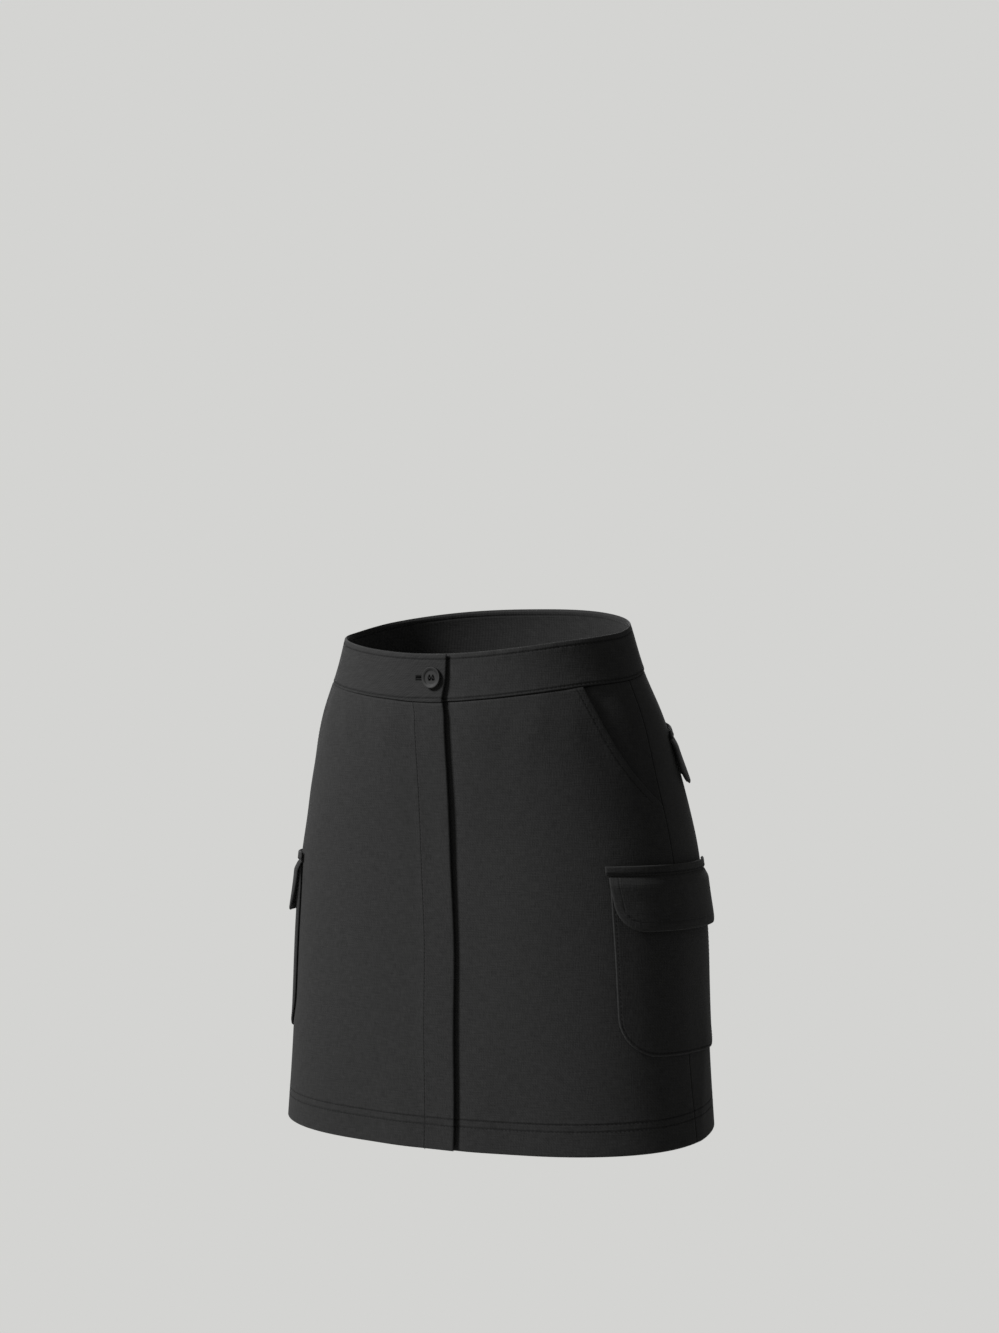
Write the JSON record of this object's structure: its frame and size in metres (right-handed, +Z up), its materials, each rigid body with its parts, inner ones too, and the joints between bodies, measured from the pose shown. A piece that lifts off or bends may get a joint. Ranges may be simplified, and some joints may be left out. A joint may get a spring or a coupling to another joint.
{
  "type": "utility skirt",
  "caption": "Short charcoal twill wrap-front skirt in its hollow worn form, with buttoned waistband, slanted hand pockets, flapped cargo pockets and back flaps.",
  "frame": {"origin": "centre of the waist, level with the waistband's top edge at the sides, where the wearer holds the skirt up", "axes": "+X towards the wearer's left, -Y the front, +Z up, from the hem towards the waist"},
  "size_m": [0.3752, 0.2233, 0.4188],
  "materials": {
    "twill": "fine matte charcoal cotton twill",
    "resin": "satin black resin"
  },
  "bodies": {
    "root": {"front_right": "twill", "front_left": "twill", "back_right": "twill", "back_left": "twill", "waistband": "twill", "pocket_bag_right": "twill", "pocket_bag_left": "twill", "cargo_pocket_right": "twill", "cargo_pocket_left": "twill", "cargo_flap_right": "twill", "cargo_flap_left": "twill", "back_flap_right": "twill", "back_flap_left": "twill", "button": "resin"}
  },
  "joints": []
}
